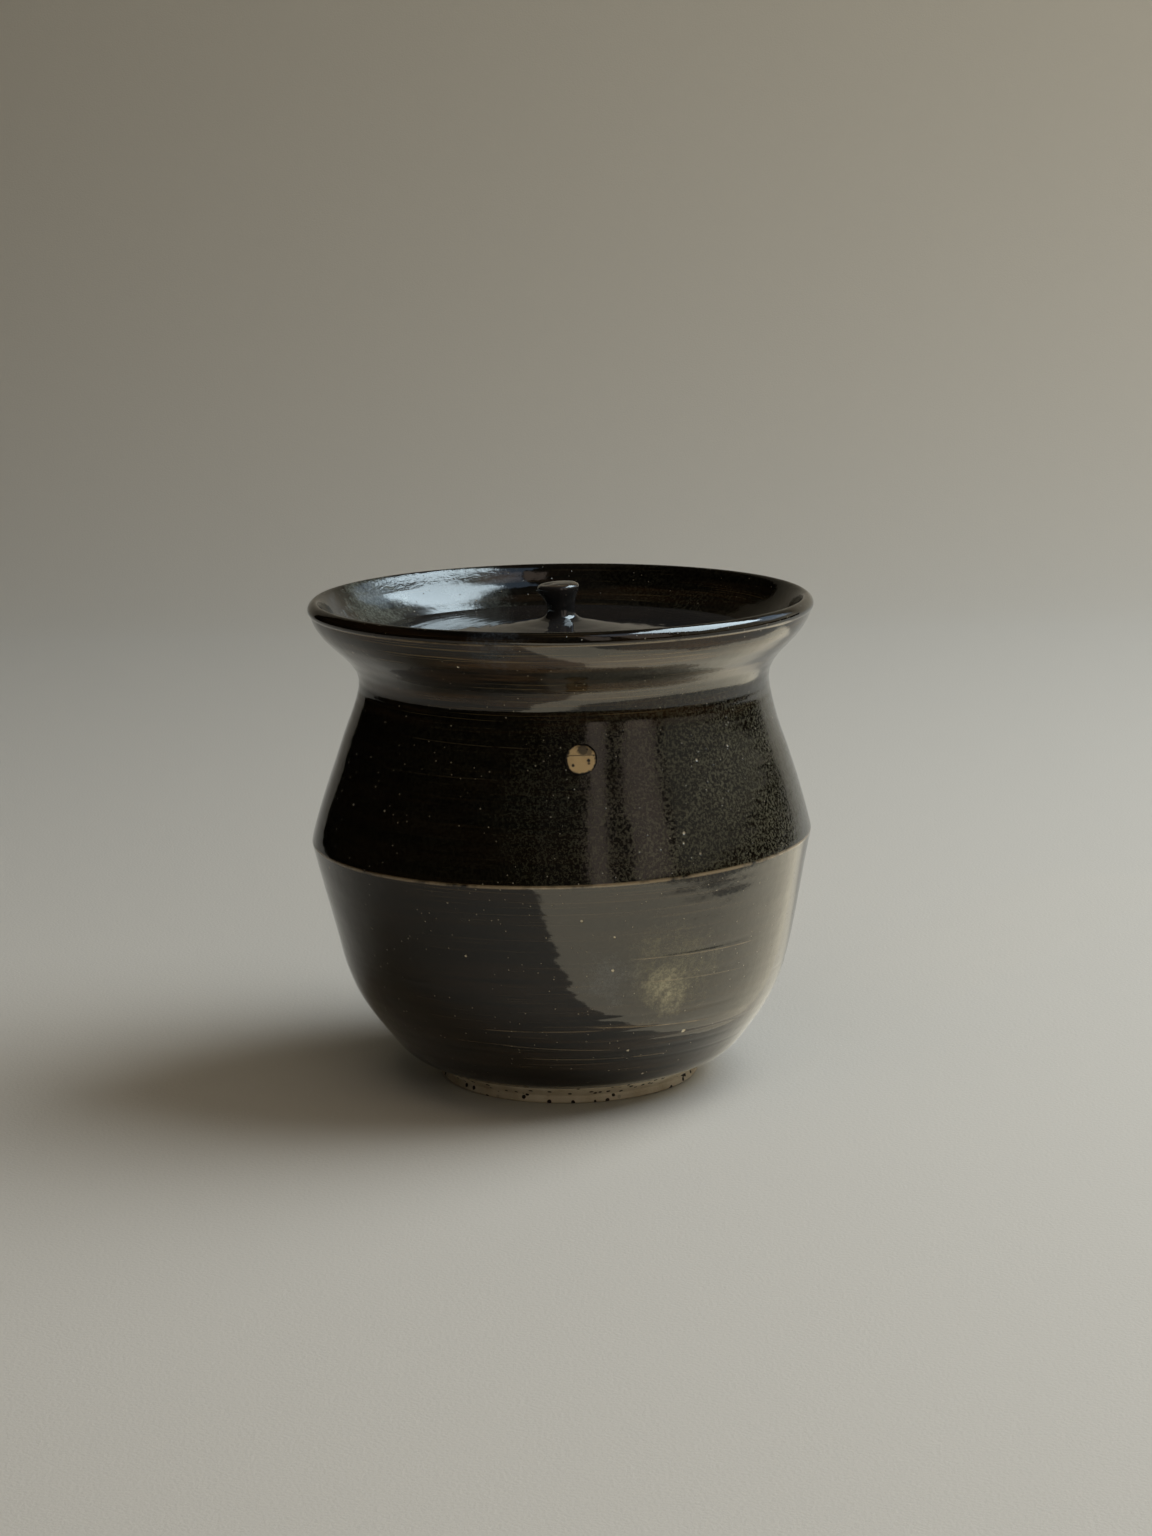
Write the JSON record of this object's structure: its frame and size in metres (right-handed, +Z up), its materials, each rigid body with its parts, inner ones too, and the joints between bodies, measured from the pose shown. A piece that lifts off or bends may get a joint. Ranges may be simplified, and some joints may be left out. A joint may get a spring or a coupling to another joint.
{
  "type": "lidded jar",
  "caption": "Round stoneware storage jar with a sharp shoulder ridge, flared rim and a low lid with a small knob that drops inside the rim and lifts off.",
  "frame": {"origin": "centre of the foot ring's underside, on the surface the jar stands on", "axes": "+Z up along the jar's axis; -Y is the front, where the spot of bare clay is; +X is to the right of it"},
  "size_m": [0.1648, 0.1648, 0.1635],
  "materials": {
    "jar_glaze": "gloss",
    "lid_glaze": "gloss",
    "bare_clay": "matte"
  },
  "bodies": {
    "jar": {"foot_ring": "bare_clay", "jar_floor": "jar_glaze", "lower_bowl": "jar_glaze", "shoulder_wall": "jar_glaze", "neck_collar": "jar_glaze", "flared_rim": "jar_glaze", "lip_bead": "jar_glaze", "lid_gallery": "bare_clay", "clay_spot": "bare_clay"},
    "lid": {"lid_plate": "lid_glaze", "lid_flange": "bare_clay", "lid_knob": "lid_glaze"}
  },
  "joints": [
    {"name": "lid_lift", "type": "slide", "parent": "jar", "child": "lid", "axis": [0, 0, 1], "range_m": [0, 0.08]}
  ]
}
